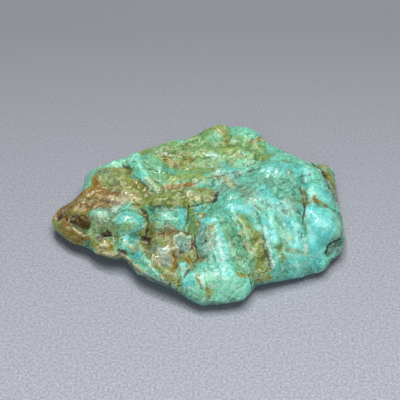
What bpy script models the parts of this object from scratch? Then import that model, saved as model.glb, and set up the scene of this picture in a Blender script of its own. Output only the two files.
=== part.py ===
"""A raw turquoise nugget: one flat, knobbly, water-worn stone that lies on a small flat spot.

The stone is one closed solid. All lengths below are millimetres. X runs along the stone's
length, Y towards its back, Z up. The plan outline gives its edge, the lumps and valleys its
upper face, the hollows its underside.
"""

import math
from typing import NamedTuple

import bmesh
import bpy
import numpy as np
from mathutils import Vector, noise

MM = 0.001

# Driving dimensions
LENGTH = 51.0
CROWN_TOP = 5.8
CROWN_FALL = 3.2
TOP_SHOULDER = 3.0
UNDER_SHOULDER = 2.7
BELLY_RISE = 0.6
NOSE_RISE = 1.2
FLAT_HALF_LENGTH = 9.5
FLAT_HALF_DEPTH = 7.0
FLAT_SHAVED = 0.2

# Mesh density: the upper face has twice as many spokes as the underside
UPPER_RINGS = 26
UPPER_EDGE_STEPS = 5
UNDER_RINGS = 13
UNDER_EDGE_STEPS = 4


class Lump(NamedTuple):
    x: float
    y: float
    half_length: float
    half_width: float
    turn: float
    top: float
    rise_x: float = 0.0
    rise_y: float = 0.0


class Valley(NamedTuple):
    path: tuple
    half_width: float
    depth: float


# The plan outline, anticlockwise from the right end: x, y, and the height of the widest level
OUTLINE = (
    (25.0, 1.6, 3.0),
    (24.8, 5.2, 3.2),
    (24.8, 8.0, 3.8),
    (23.9, 10.5, 3.9),
    (20.7, 11.2, 3.7),
    (18.2, 12.2, 3.8),
    (16.7, 14.8, 3.8),
    (13.5, 16.1, 3.8),
    (11.5, 18.9, 3.8),
    (9.0, 20.5, 3.8),
    (5.0, 20.6, 3.8),
    (2.3, 20.4, 3.8),
    (0.0, 19.8, 3.8),
    (-2.6, 16.8, 3.8),
    (-5.8, 16.8, 3.8),
    (-9.2, 16.1, 3.8),
    (-11.1, 15.0, 3.8),
    (-12.9, 12.2, 3.8),
    (-14.5, 11.1, 3.7),
    (-17.9, 9.6, 3.6),
    (-20.6, 8.7, 3.5),
    (-20.7, 5.7, 3.5),
    (-21.3, 3.6, 3.4),
    (-22.2, 1.9, 3.2),
    (-24.7, 0.8, 3.0),
    (-25.9, -2.2, 2.3),
    (-25.1, -4.7, 2.2),
    (-23.6, -6.4, 2.2),
    (-21.4, -8.5, 2.3),
    (-19.3, -9.1, 2.6),
    (-17.8, -10.5, 2.9),
    (-16.0, -11.8, 3.1),
    (-13.1, -12.1, 3.3),
    (-10.3, -15.4, 3.4),
    (-7.8, -17.5, 3.4),
    (-5.5, -18.6, 3.1),
    (-3.5, -20.2, 2.7),
    (-0.8, -21.7, 2.3),
    (3.4, -22.1, 2.1),
    (7.1, -21.5, 2.2),
    (8.9, -19.4, 2.1),
    (9.5, -17.7, 2.1),
    (11.2, -17.6, 2.1),
    (13.5, -17.0, 1.8),
    (17.4, -15.3, 1.6),
    (20.7, -14.5, 1.6),
    (22.6, -12.1, 1.8),
    (23.5, -11.3, 1.9),
    (25.2, -9.1, 2.1),
    (25.6, -6.6, 2.3),
    (25.4, -2.6, 2.7),
    (24.8, -0.4, 2.8),
)

# Broad swellings that the upper face is made of
SWELLINGS = {
    "right": Lump(13.2, -0.4, 9.2, 7.6, 10, 8.6),
    "right_end": Lump(20.6, -1.5, 5.0, 9.5, -4, 6.0),
    "back": Lump(2.6, 9.6, 11.5, 6.6, 6, 7.0),
    "crest": Lump(6.2, 15.6, 7.6, 6.2, -8, 7.0),
    "middle": Lump(-0.6, 1.8, 9.4, 5.0, 8, 7.7),
    "left": Lump(-14.2, 2.4, 7.4, 7.0, 10, 6.3),
    "left_middle": Lump(-6.0, -5.4, 10.5, 3.7, 2, 6.3),
    "low_left": Lump(-13.0, -8.2, 7.4, 3.8, -22, 4.6),
    "nose": Lump(-21.0, -2.6, 5.4, 3.6, 10, 4.4),
    "front_face": Lump(9.6, -12.2, 10.4, 5.6, 0, 6.2, rise_y=0.52),
    "front_lobe": Lump(2.4, -17.8, 7.2, 4.6, 0, 4.9, rise_y=0.16),
}

# Lumps on the swellings
LUMPS = {
    "nose": Lump(-21.3, -1.6, 5.0, 2.2, 30, 5.2, rise_x=0.10),
    "nose_lip": Lump(-21.8, -6.2, 3.8, 1.6, -26, 4.6),
    "orange_flank": Lump(-18.2, 0.9, 3.4, 2.0, 28, 6.1),
    "left_knob": Lump(-15.4, 4.8, 5.2, 4.4, 10, 7.1),
    "left_knob_rim": Lump(-15.4, 8.6, 5.0, 1.8, 12, 7.2),
    "knob_foot": Lump(-12.0, 0.4, 3.6, 2.4, -30, 6.9),
    "slanting_ridge": Lump(-9.9, 6.0, 7.4, 2.1, -66, 7.6),
    "second_slant": Lump(-6.6, 5.4, 5.4, 2.1, -62, 7.7),
    "back_left_low": Lump(-6.0, 11.4, 4.4, 2.2, 24, 7.4),
    "back_left_high": Lump(0.8, 11.0, 4.8, 2.0, 4, 7.5),
    "back_left_rim": Lump(-3.4, 14.4, 5.0, 2.0, 24, 7.2),
    "crest_left": Lump(3.8, 17.2, 3.1, 3.4, 0, 7.8),
    "crest_right": Lump(8.8, 16.4, 3.6, 3.4, -20, 7.4),
    "crest_front": Lump(7.6, 11.2, 4.4, 2.4, -20, 7.4),
    "mid_back_left": Lump(-3.6, 3.2, 4.4, 2.0, 10, 8.1),
    "mid_back_right": Lump(3.6, 4.4, 4.8, 2.2, 6, 8.5),
    "mid_back_end": Lump(9.4, 5.6, 2.6, 1.8, 20, 8.5),
    "middle_left": Lump(-6.2, -2.2, 3.4, 2.0, 6, 7.7),
    "middle_right": Lump(0.2, -1.2, 3.8, 2.2, 14, 8.0),
    "lump_a": Lump(-11.9, -6.3, 3.3, 2.7, 14, 7.0),
    "mottled": Lump(-16.9, -4.2, 2.5, 2.7, 0, 6.4),
    "lump_b": Lump(-5.2, -5.8, 3.2, 2.6, -12, 7.3),
    "wedge": Lump(0.0, -6.0, 1.9, 2.0, 10, 7.4),
    "low_left_near": Lump(-12.4, -10.2, 2.0, 1.4, -20, 5.5),
    "low_left_far": Lump(-9.6, -11.8, 2.2, 1.4, -50, 5.5),
    "low_left_end": Lump(-17.4, -8.8, 2.0, 1.2, -20, 4.9),
    "basin_floor": Lump(-5.6, -13.2, 4.4, 4.0, 0, 4.8, rise_y=0.20),
    "basin_rim": Lump(-6.6, -15.6, 4.8, 1.2, -42, 4.8),
    "square_knob": Lump(-2.7, -11.0, 2.1, 1.9, 4, 5.7),
    "blue_patch": Lump(-2.7, -15.6, 1.6, 1.7, 0, 5.1),
    "front_lobe_left": Lump(-0.2, -18.6, 3.2, 3.0, -20, 5.3, rise_y=0.20),
    "front_lobe_right": Lump(5.2, -18.2, 3.4, 3.0, -30, 5.3, rise_y=0.20),
    "plateau_left": Lump(6.4, -3.2, 4.0, 4.0, 30, 8.9),
    "plateau_middle": Lump(11.4, -2.0, 4.6, 4.6, 0, 9.3),
    "plateau_right": Lump(15.4, -3.6, 2.9, 4.0, 0, 9.1),
    "plateau_back": Lump(13.2, 4.4, 4.2, 3.0, 10, 9.1),
    "back_right": Lump(15.4, 8.0, 4.4, 3.3, -30, 7.9),
    "far_right": Lump(19.4, 5.0, 2.4, 2.8, 0, 8.0),
    "right_rim": Lump(23.6, 6.0, 1.4, 4.4, 16, 6.5),
    "right_small": Lump(21.0, 0.6, 1.9, 2.7, 8, 8.0, rise_x=-0.12),
    "right_big": Lump(21.5, -6.8, 3.2, 3.4, 0, 7.5, rise_x=-0.12, rise_y=0.20),
    "flute_pale": Lump(2.7, -12.0, 5.8, 3.1, -80, 6.8, rise_y=0.46),
    "flute_green": Lump(8.2, -12.2, 6.0, 2.2, -68, 7.0, rise_y=0.52),
    "flute_crisp": Lump(12.8, -12.2, 5.4, 1.8, -82, 7.1, rise_y=0.56),
    "front_face_right": Lump(16.8, -11.6, 4.8, 2.0, -86, 6.7, rise_y=0.52),
}
LUMP_DROP = 1.5
LUMP_SQUARENESS = 2.6
LUMP_BLEND = 0.22
CROWN_CENTRE = (5.0, 0.0)
CROWN_HALF_SPAN = (30.0, 24.0)

# Valleys of the upper face
VALLEYS = {
    "main_fracture_back": Valley(((10.6, 6.2), (7.6, 1.6), (3.6, -2.8)), 1.1, 0.45),
    "main_fracture": Valley(((3.6, -2.8), (1.6, -6.4), (-0.1, -9.2)), 1.2, 0.7),
    "main_fracture_front": Valley(
        ((-0.2, -9.2), (-0.3, -11.8), (-0.1, -14.8), (-1.6, -16.8), (-3.2, -19.3)), 1.1, 0.9
    ),
    "beside_lump_a": Valley(((-9.8, -3.6), (-8.5, -5.4), (-8.4, -7.8), (-8.7, -9.9)), 1.3, 1.3),
    "beside_lump_b": Valley(((-2.2, -4.0), (-1.8, -6.2), (-2.2, -8.4)), 1.0, 0.8),
    "above_wedge": Valley(((-1.9, -4.4), (0.4, -4.1), (2.6, -2.8)), 1.0, 0.7),
    "above_lump_b": Valley(((-8.0, -4.0), (-5.2, -3.6), (-2.2, -4.0)), 0.9, 0.5),
    "rust_line": Valley(((-7.2, -0.8), (-3.4, 0.5), (0.4, 1.6), (3.6, 2.2)), 1.4, 0.5),
    "beside_knob": Valley(((-13.0, 7.6), (-11.4, 5.0), (-9.5, 2.0), (-7.8, -0.8)), 1.6, 0.5),
    "between_slants": Valley(((-10.4, 9.2), (-8.2, 5.4), (-6.8, 0.6)), 1.0, 0.4),
    "beside_slants": Valley(((-7.4, 9.0), (-5.6, 6.2), (-4.2, 5.6)), 1.0, 0.4),
    "long_trough": Valley(((-4.0, 7.6), (1.0, 7.2), (6.4, 8.0), (10.6, 6.4)), 1.9, 0.9),
    "around_square_knob": Valley(
        ((-5.0, -9.0), (-1.8, -8.8), (-0.5, -10.4), (-0.8, -12.8), (-4.0, -13.2)), 1.1, 0.6
    ),
    "below_lump_b": Valley(((-8.0, -9.2), (-5.9, -8.3), (-3.8, -8.5), (-1.8, -8.9)), 1.0, 0.7),
    "beside_basin": Valley(((-8.8, -10.2), (-8.4, -12.4), (-9.4, -13.6)), 0.9, 0.6),
    "mottled_edge": Valley(((-13.7, -3.6), (-14.7, -5.6), (-14.8, -7.6)), 1.0, 0.6),
    "below_lump_a": Valley(((-14.4, -8.9), (-12.4, -8.7), (-10.2, -8.8), (-9.0, -9.9)), 0.9, 0.7),
    "low_left_pit": Valley(((-17.0, -7.0), (-15.6, -7.8)), 1.7, 1.1),
    "between_low_left": Valley(((-11.4, -9.4), (-11.0, -11.4), (-12.0, -12.6)), 0.9, 0.5),
    "right_crack_back": Valley(((18.9, 3.6), (18.2, -0.4), (17.9, -4.4)), 1.3, 1.4),
    "right_crack_front": Valley(((17.9, -4.4), (18.1, -7.6), (18.0, -11.8)), 1.2, 0.6),
    "between_right_lumps": Valley(((18.2, -3.6), (20.6, -2.7), (24.2, -2.8)), 1.2, 1.3),
    "beside_crest": Valley(((6.6, 18.4), (6.4, 15.2), (6.0, 13.2)), 1.1, 0.5),
    "below_crest": Valley(((-2.4, 13.2), (1.8, 13.4), (5.4, 13.6), (10.6, 12.4)), 1.1, 0.6),
    "knob_hollow": Valley(((-19.2, 3.6), (-17.8, 2.6), (-14.6, 1.4)), 1.2, 0.7),
    "flute_first": Valley(((3.9, -6.0), (5.4, -9.6), (7.2, -13.6), (7.8, -16.4)), 1.8, 0.35),
    "flute_second": Valley(((10.0, -6.2), (11.0, -10.4), (11.6, -16.4)), 1.4, 0.6),
    "flute_third": Valley(((14.2, -7.6), (14.8, -12.0), (15.0, -16.0)), 1.4, 0.5),
}

# Clefts in the stone's side: points x, y, z on the skin, half width, depth
CLEFTS = {
    "under_nose": Valley(
        ((-24.8, -2.2, 3.3), (-23.0, -3.4, 3.8), (-21.3, -4.3, 3.7), (-19.6, -5.9, 4.0)), 1.3, 1.8
    ),
    "right_notch": Valley(
        ((21.8, -11.4, 3.1), (22.4, -10.6, 3.6), (23.2, -9.9, 3.8), (25.2, -8.3, 3.1)), 1.1, 1.3
    ),
    "rim_crack": Valley(
        ((20.6, 9.6, 5.0), (21.8, 7.3, 5.6), (22.5, 4.8, 5.6), (23.8, -0.2, 4.7)), 1.0, 1.0
    ),
}

# Hollows of the underside: centre x, y, radius, depth
HOLLOWS = (
    (-16.0, -1.0, 4.5, 0.8),
    (13.5, 10.0, 5.0, 0.7),
    (-3.5, 13.0, 4.5, 0.7),
    (15.0, -9.0, 4.5, 0.6),
    (-4.0, -13.5, 3.6, 0.6),
)

# Share of each height that follows its neighbours', which rounds the valleys off
SOFTENING = 0.5
SOFTENING_PASSES = 1

# Unevenness of the whole skin: size of its waves, height of its waves
UNEVENNESS = ((5.5, 0.30), (2.4, 0.22))


def smooth_step(t):
    t = np.clip(t, 0.0, 1.0)
    return t * t * (3.0 - 2.0 * t)


def curve_around(angles, knots, values):
    """Smooth closed curve of values over the angle, through all the knots."""
    order = np.argsort(knots)
    turn = 2 * math.pi
    a = np.concatenate([knots[order][-2:] - turn, knots[order], knots[order][:2] + turn])
    v = np.concatenate([values[order][-2:], values[order], values[order][:2]])
    slope = np.zeros_like(v)
    slope[1:-1] = (v[2:] - v[:-2]) / (a[2:] - a[:-2])
    i = np.clip(np.searchsorted(a, angles, side="right") - 1, 1, len(a) - 3)
    h = a[i + 1] - a[i]
    t = (angles - a[i]) / h
    start = v[i] * (1 + 2 * t) * (1 - t) ** 2 + slope[i] * h * t * (1 - t) ** 2
    end = v[i + 1] * t * t * (3 - 2 * t) + slope[i + 1] * h * t * t * (t - 1)
    return start + end


def outline_at(angles):
    """Radius of the outline, and height of the widest level, in each direction."""
    points = np.array(OUTLINE)
    knots = np.arctan2(points[:, 1], points[:, 0])
    wrapped = (angles + math.pi) % (2 * math.pi) - math.pi
    radius = curve_around(wrapped, knots, np.hypot(points[:, 0], points[:, 1]))
    return radius, curve_around(wrapped, knots, points[:, 2])


def distance_to_path(points, path):
    """Distance of each point from a path of straight pieces, in any number of axes."""
    nearest = np.full(len(points), np.inf)
    for a, b in zip(np.array(path[:-1]), np.array(path[1:])):
        along = b - a
        t = np.clip((points - a) @ along / (along @ along), 0.0, 1.0)
        nearest = np.minimum(nearest, np.linalg.norm(points - a - t[:, None] * along, axis=1))
    return nearest


def valley_depth(points, valleys):
    """Depth of the deepest valley at each point."""
    depth = np.zeros(len(points))
    for valley in valleys.values():
        share = np.clip(1.0 - distance_to_path(points, valley.path) / valley.half_width, 0.0, 1.0)
        depth = np.maximum(depth, valley.depth * smooth_step(share))
    return depth


def lump_height(lump, x, y):
    """Height of one lump's pillow, which falls away without end outside it."""
    c, s = math.cos(math.radians(lump.turn)), math.sin(math.radians(lump.turn))
    dx, dy = x - lump.x, y - lump.y
    along = np.abs(dx * c + dy * s) / lump.half_length
    across = np.abs(dy * c - dx * s) / lump.half_width
    reach = along**LUMP_SQUARENESS + across**LUMP_SQUARENESS
    return lump.top + lump.rise_x * dx + lump.rise_y * dy - LUMP_DROP * reach


def upper_face(x, y):
    """Height of the upper face: crown, swellings and lumps merged, then cut by the valleys."""
    across = (x - CROWN_CENTRE[0]) / CROWN_HALF_SPAN[0]
    back = (y - CROWN_CENTRE[1]) / CROWN_HALF_SPAN[1]
    crown = CROWN_TOP - CROWN_FALL * (across**2 + back**2)
    total = np.exp(crown / LUMP_BLEND)
    for lump in (*SWELLINGS.values(), *LUMPS.values()):
        total += np.exp(np.maximum(lump_height(lump, x, y), 0.0) / LUMP_BLEND)
    height = LUMP_BLEND * np.log(total)
    return height - valley_depth(np.stack([x, y], axis=1), VALLEYS)


def under_face(x, y):
    """Height of the underside: a flat spot, a slow rise out of it and to the nose, and hollows."""
    reach = np.hypot(x / FLAT_HALF_LENGTH, y / FLAT_HALF_DEPTH)
    height = BELLY_RISE * smooth_step((reach - 1.0) / 1.2)
    height += NOSE_RISE * smooth_step((-x - FLAT_HALF_LENGTH) / 10.0)
    for px, py, radius, depth in HOLLOWS:
        height += depth * smooth_step(1.0 - np.hypot(x - px, y - py) / radius)
    return height


def skin_points(angles, inward, lift, face):
    """Points set in from the outline by inward, at the given share of the way up to the face."""
    radius, level = outline_at(angles)
    reach = np.maximum(radius - inward, 0.0)
    x, y = reach * np.cos(angles), reach * np.sin(angles)
    return np.stack([x, y, level + (face(x, y) - level) * lift], axis=1)


def cap_rings(face, shoulder, count):
    """Rings from the middle out to the shoulder of the edge; ring k holds 6k points."""
    rings = []
    for k in range(count + 1):
        points = max(6 * k, 1)
        angles = 2 * math.pi * np.arange(points) / points
        radius, _ = outline_at(angles)
        rings.append(skin_points(angles, radius - (radius - shoulder) * k / count, 1.0, face))
    return rings


def edge_rings(face, shoulder, spokes, steps):
    """Rings over the rounded edge, from just past the shoulder to just short of the widest."""
    angles = 2 * math.pi * np.arange(spokes) / spokes
    rings = []
    for step in range(1, steps):
        beta = math.pi / 2 * (1 - step / steps)
        rings.append(skin_points(angles, shoulder * (1 - math.cos(beta)), math.sin(beta), face))
    return rings


def widest_ring(spokes):
    return skin_points(2 * math.pi * np.arange(spokes) / spokes, 0.0, 0.0, upper_face)


def add_rings(bm, rings):
    return [[bm.verts.new(Vector(point)) for point in ring] for ring in rings]


def fill_cap(bm, rings):
    """Triangles between rings of 6k and 6(k + 1) points."""
    for k in range(len(rings) - 1):
        inner, outer = rings[k], rings[k + 1]
        for side in range(6):
            for j in range(k + 1):
                a = outer[side * (k + 1) + j]
                b = outer[(side * (k + 1) + j + 1) % len(outer)]
                c = inner[(side * k + j) % len(inner)]
                bm.faces.new((a, b, c))
                if j < k:
                    d = inner[(side * k + j + 1) % len(inner)]
                    bm.faces.new((c, b, d))


def fill_band(bm, rings):
    """Quads between rings of one count."""
    for near, far in zip(rings, rings[1:]):
        for j in range(len(near)):
            k = (j + 1) % len(near)
            bm.faces.new((near[j], far[j], far[k], near[k]))


def fill_halving_band(bm, dense, sparse):
    """Triangles between a ring and one with half as many points."""
    for j in range(len(sparse)):
        k = (j + 1) % len(sparse)
        first, middle, last = dense[2 * j], dense[2 * j + 1], dense[(2 * j + 2) % len(dense)]
        bm.faces.new((first, sparse[j], middle))
        bm.faces.new((sparse[j], sparse[k], middle))
        bm.faces.new((middle, sparse[k], last))


def carve_skin(bm):
    """Moves the skin along its normals: clefts inwards, and a slow unevenness both ways."""
    bm.normal_update()
    points = np.array([vertex.co for vertex in bm.verts])
    push = -valley_depth(points, CLEFTS)
    for size, amount in UNEVENNESS:
        push += amount * np.array([noise.noise(vertex.co / size) for vertex in bm.verts])
    moves = [vertex.normal * amount for vertex, amount in zip(bm.verts, push)]
    for vertex, move in zip(bm.verts, moves):
        vertex.co += move


def settle(bm):
    """Shaves the resting spot flat, and stands the stone on it at its full length."""
    for vertex in bm.verts:
        vertex.co.z = max(vertex.co.z, FLAT_SHAVED)
    points = np.array([vertex.co for vertex in bm.verts])
    low, high = points.min(axis=0), points.max(axis=0)
    foot = Vector(((low[0] + high[0]) / 2, (low[1] + high[1]) / 2, low[2]))
    scale = LENGTH / (high[0] - low[0]) * MM
    for vertex in bm.verts:
        vertex.co = (vertex.co - foot) * scale


def turquoise_material():
    material = bpy.data.materials.new("turquoise")
    material.use_nodes = True
    shader = material.node_tree.nodes["Principled BSDF"]
    shader.inputs["Base Color"].default_value = (0.20, 0.52, 0.42, 1.0)
    shader.inputs["Roughness"].default_value = 0.38
    shader.inputs["Metallic"].default_value = 0.0
    return material


def build_stone():
    upper_spokes, under_spokes = 6 * UPPER_RINGS, 6 * UNDER_RINGS
    bm = bmesh.new()
    upper = add_rings(bm, cap_rings(upper_face, TOP_SHOULDER, UPPER_RINGS))
    upper_edge = add_rings(bm, edge_rings(upper_face, TOP_SHOULDER, upper_spokes, UPPER_EDGE_STEPS))
    widest = add_rings(bm, [widest_ring(upper_spokes)])
    under_edge = edge_rings(under_face, UNDER_SHOULDER, under_spokes, UNDER_EDGE_STEPS)
    under_edge = add_rings(bm, under_edge[::-1])
    under = add_rings(bm, cap_rings(under_face, UNDER_SHOULDER, UNDER_RINGS))
    fill_cap(bm, upper)
    fill_band(bm, [upper[-1], *upper_edge, *widest])
    fill_halving_band(bm, widest[0], under_edge[0])
    fill_band(bm, [*under_edge, under[-1]])
    fill_cap(bm, under)
    bmesh.ops.recalc_face_normals(bm, faces=bm.faces)
    for _ in range(SOFTENING_PASSES):
        bmesh.ops.smooth_vert(bm, verts=bm.verts, factor=SOFTENING, use_axis_z=True)
    carve_skin(bm)
    settle(bm)
    mesh = bpy.data.meshes.new("turquoise_stone")
    bm.to_mesh(mesh)
    bm.free()
    mesh.shade_smooth()
    mesh.materials.append(turquoise_material())
    stone = bpy.data.objects.new("turquoise_stone", mesh)
    bpy.context.scene.collection.objects.link(stone)


def main():
    for old in list(bpy.data.objects):
        bpy.data.objects.remove(old)
    build_stone()


main()
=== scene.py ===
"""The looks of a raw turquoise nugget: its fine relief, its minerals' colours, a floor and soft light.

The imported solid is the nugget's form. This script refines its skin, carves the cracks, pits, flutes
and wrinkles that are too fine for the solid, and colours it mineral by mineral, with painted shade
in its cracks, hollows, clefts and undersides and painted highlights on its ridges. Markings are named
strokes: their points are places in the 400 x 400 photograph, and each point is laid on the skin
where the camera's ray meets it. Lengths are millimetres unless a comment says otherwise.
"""

import math
from typing import NamedTuple

import bpy
import numpy as np
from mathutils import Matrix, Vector, noise
from mathutils.bvhtree import BVHTree


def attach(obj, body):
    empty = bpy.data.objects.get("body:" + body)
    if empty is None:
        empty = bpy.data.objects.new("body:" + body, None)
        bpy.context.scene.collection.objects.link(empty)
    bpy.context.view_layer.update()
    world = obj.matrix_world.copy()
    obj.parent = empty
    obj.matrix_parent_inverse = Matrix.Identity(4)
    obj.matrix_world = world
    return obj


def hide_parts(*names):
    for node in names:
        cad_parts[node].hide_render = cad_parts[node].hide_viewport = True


MM = 0.001
STONE = "turquoise_stone"

# Camera, and the height of the stone's widest level, for places that miss the stone
PHOTO_WIDTH = 400
LENS = 120.0
SENSOR = 36.0
CAMERA_DISTANCE = 240.0
CAMERA_ELEVATION = math.radians(42.0)
CAMERA_TARGET = Vector((0.4, 6.2, 0.0))
EDGE_HEIGHT = 3.0

# Millimetres to a pixel of reach: for cracks, grooves and ridges, and for all broader strokes
PIXEL = 0.18
MARK_PIXEL = 0.27

# The outer share of its reach over which a stroke fades
FALLOFF = 0.8

# Least squared length of a stroke's part, so that nothing is divided by zero
SHORTEST = 1e-9

# Refining: one level splits a triangle in three quads and the next splits each of them in four.
# The lowest skin keeps its shape up to this height.
REFINE_LEVELS = 2
WELD_DISTANCE = 0.002
FLAT_KEPT = 0.15


class Wander(NamedTuple):
    size: float
    amount: float
    shift: float


class FacetLevel(NamedTuple):
    size: float
    height: float
    kept: float
    wanders: tuple


# What is drawn on the stone wanders: size of the bends, amount, and shift of the noise
WANDER_OCTAVES = 2
WANDER_SHIFTS = (3.1, 7.7, 12.9)
FACET_WANDER = Wander(3.4, 0.9, 0.0)
RELIEF_WANDER = Wander(1.6, 0.22, 40.0)
CRACK_WANDER = Wander(0.9, 0.16, 50.0)

# Facets from broad to fine: size, height, share of the height that smooth skin keeps, and wander
FACETS = (
    FacetLevel(2.8, 0.34, 0.4, (FACET_WANDER,)),
    FacetLevel(1.5, 0.24, 0.0, (FACET_WANDER, Wander(1.6, 0.3, 20.0))),
    FacetLevel(0.8, 0.12, 0.0, (Wander(0.9, 0.15, 30.0),)),
    FacetLevel(0.42, 0.035, 0.3, ()),
)

# Random values on a lattice, for the facets
LATTICE_WEIGHTS = (127.1, 311.7, 74.7)
LATTICE_GAIN = 43758.5453

# Roughness of the skin; noises are given as wave size, octaves and shift
ROUGH_WAVES = (6.0, 1, 9.0)
ROUGH_MEAN = 0.62
ROUGH_SWING = 0.5
ROUGH_LEAST = 0.15
POLISH_SMOOTHS = 0.75

# Pits
PIT_WAVES = (0.8, 2, 80.0)
PIT_LEVEL = 0.42
PIT_SOFTNESS = 0.25
PIT_DEPTH = 0.16

# Where cracks close up for a bit
CLOSING_WAVES = (1.2, 2, 70.0)
CLOSING_LEVEL = 0.75
CLOSING_SOFTNESS = 0.7

# Grain of layered rock
LAY_STRETCH = 3.0
LAY_OCTAVES = 3
LAY_SHIFT = 1.0


class Stroke(NamedTuple):
    path: list
    reach: float
    amount: float


def strokes(table):
    """Named strokes, each from its points, its reach and its amount."""
    return {name: Stroke(path, reach, amount) for name, (*path, reach, amount) in table.items()}


# Cracks: points in photo pixels, half width in pixels, depth in millimetres
CRACKS = strokes({
    "main_back": ((262, 168), (251, 171), (241, 179), (232, 186), (222, 194), (217, 199), 1.2, 0.12),
    "main_pit": ((217, 192), (216, 197), (213, 201), 1.8, 0.26),
    "main_middle": ((214, 201), (209, 209), (203, 218), (198, 226), (195, 234), 1.1, 0.14),
    "main_low": ((194, 236), (195, 246), (197, 254), (196, 260), (190, 268), (184, 277), 1.4, 0.26),
    "main_end": ((184, 277), (179, 281), (177, 286), 1.1, 0.12),
    "shadow_beside_a": ((141, 209), (147, 215), (149, 224), (147, 232), (147, 239), 1.2, 0.2),
    "hole_a": ((146, 239), (148, 240), 2.2, 0.34),
    "beside_b": ((188, 206), (188, 215), (187, 223), (184, 229), 1.3, 0.2),
    "above_wedge": ((188, 207), (196, 206), (203, 204), (212, 201), 1.2, 0.2),
    "right_crack": ((304, 203), (304, 211), (303, 219), 1.2, 0.2),
    "right_crack_low": ((303, 219), (302, 232), (301, 242), 1.0, 0.16),
    "rim_crack": ((312, 164), (318, 168), (323, 174), (327, 181), (331, 189), (334, 198), 1.5, 0.28),
    "shaded_nose_cleft": ((62, 217), (69, 221), (76, 224), (83, 228), 1.5, 0.2),
    "nose_line": ((72, 216), (79, 219), (86, 223), 1.2, 0.16),
    "notch_shade": ((341, 240), (333, 242), (328, 246), (326, 253), 1.8, 0.3),
    "front_nick": ((213, 255), (216, 262), (219, 268), 0.9, 0.14),
    "front_notch": ((250, 274), (251, 281), (252, 287), 1.5, 0.16),
    "lump_a_top": ((117, 212), (124, 210), (132, 209), (141, 211), 1.0, 0.09),
    "lump_a_left": ((118, 211), (114, 219), (110, 226), 1.0, 0.09),
    "lump_a_foot": ((112, 237), (120, 237), (128, 234), (137, 233), 1.0, 0.11),
    "square_top": ((175, 234), (184, 232), (190, 234), 1.3, 0.14),
    "square_right": ((191, 236), (193, 243), (192, 249), (187, 252), (180, 252), 1.3, 0.22),
    "basin_top": ((150, 236), (157, 231), (165, 229), (173, 231), 1.3, 0.1),
    "knob_groove": ((125, 167), (133, 175), (141, 182), (149, 189), (158, 194), 1.2, 0.08),
    "knob_pit": ((124, 166), (126, 167), 1.3, 0.16),
    "slant_groove": ((138, 160), (144, 168), (150, 174), (156, 182), (161, 189), 1.1, 0.07),
    "rust_line": (
        (160, 193), (167, 189), (176, 188), (188, 186), (197, 182), (205, 179), (216, 177), 1.2, 0.1
    ),
    "hump_line": ((150, 199), (160, 203), (171, 202), (182, 199), (192, 200), 1.0, 0.07),
    "low_left_pit": ((98, 238), (104, 236), (110, 236), 2.4, 0.36),
    "low_left_pit_upper": ((107, 231), (108, 235), 1.8, 0.30),
    "small_pit": ((121, 251), (124, 252), 1.4, 0.14),
    "plateau_line": ((254, 205), (260, 210), (268, 217), 1.0, 0.12),
    "plateau_line_right": ((281, 210), (289, 216), (297, 219), 0.9, 0.10),
    "crest_line": ((219, 153), (221, 157), (222, 160), 1.0, 0.14),
    "crest_line_right": ((241, 152), (245, 156), (249, 160), 1.0, 0.12),
    "crest_line_left": ((236, 143), (240, 148), 1.0, 0.12),
})

# Grooves that shape the light but hold no dark line
GROOVES = strokes({
    "flute_first": ((219, 214), (224, 226), (233, 238), (243, 252), (249, 266), 2.0, 0.03),
    "flute_second": ((212, 240), (216, 252), (222, 266), 2.0, 0.06),
    "flute_third": ((258, 214), (262, 226), (266, 244), (270, 266), 1.4, 0.14),
    "flute_fourth": ((276, 216), (280, 238), (283, 264), 2.2, 0.06),
    "flute_fifth": ((290, 226), (293, 244), (294, 262), 2.2, 0.05),
    "flute_inner": ((238, 222), (246, 240), (256, 262), 1.8, 0.06),
    "wrinkle_one": ((164, 150), (176, 147), (190, 149), (202, 152), 1.3, 0.12),
    "wrinkle_two": ((158, 157), (172, 158), (184, 155), (198, 157), 1.3, 0.12),
    "wrinkle_three": ((170, 143), (184, 143), (198, 140), 1.2, 0.10),
    "wrinkle_four": ((198, 146), (208, 144), (217, 148), 1.3, 0.12),
    "wrinkle_five": ((168, 170), (180, 172), (196, 172), 1.4, 0.12),
    "recess": ((301, 190), (305, 197), (308, 203), 3.4, 0.30),
    "nose_groove": ((84, 200), (96, 199), (108, 203), 2.0, 0.14),
    "lobe_groove": ((194, 266), (198, 276), (202, 290), 1.3, 0.16),
    "lobe_side": ((232, 293), (240, 288), (246, 281), 1.6, 0.10),
})

# Ridges that stand out
RIDGES = strokes({
    "crisp": ((263, 222), (266, 236), (270, 250), (273, 268), 2.4, 0.14),
    "pale_flute": ((217, 226), (222, 244), (227, 262), (232, 278), 5.0, 0.03),
    "flute_edge": ((226, 216), (236, 230), (246, 244), 2.0, 0.06),
    "diagonal": ((133, 157), (141, 168), (149, 180), (157, 191), 3.0, 0.04),
    "second_diagonal": ((147, 156), (154, 165), (160, 176), 2.4, 0.04),
    "wrinkle_crest": ((160, 153), (174, 152), (188, 152), 1.3, 0.12),
    "pale_spot": ((206, 156), (218, 156), 2.6, 0.16),
    "pale_patch": ((213, 169), (220, 171), 2.8, 0.14),
    "basin_rim": ((144, 257), (150, 266), (158, 275), (167, 284), 2.0, 0.12),
    "lobe_white": ((202, 274), (205, 288), 2.0, 0.14),
    "white_crumb": ((101, 246), (106, 245), 2.4, 0.24),
    "lip": ((64, 228), (74, 230), (83, 236), 2.2, 0.12),
    "square_edge": ((175, 239), (175, 248), (184, 250), 1.4, 0.14),
})


class Lay(NamedTuple):
    path: tuple
    reach: float
    along: tuple
    size: float
    amount: float


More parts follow.
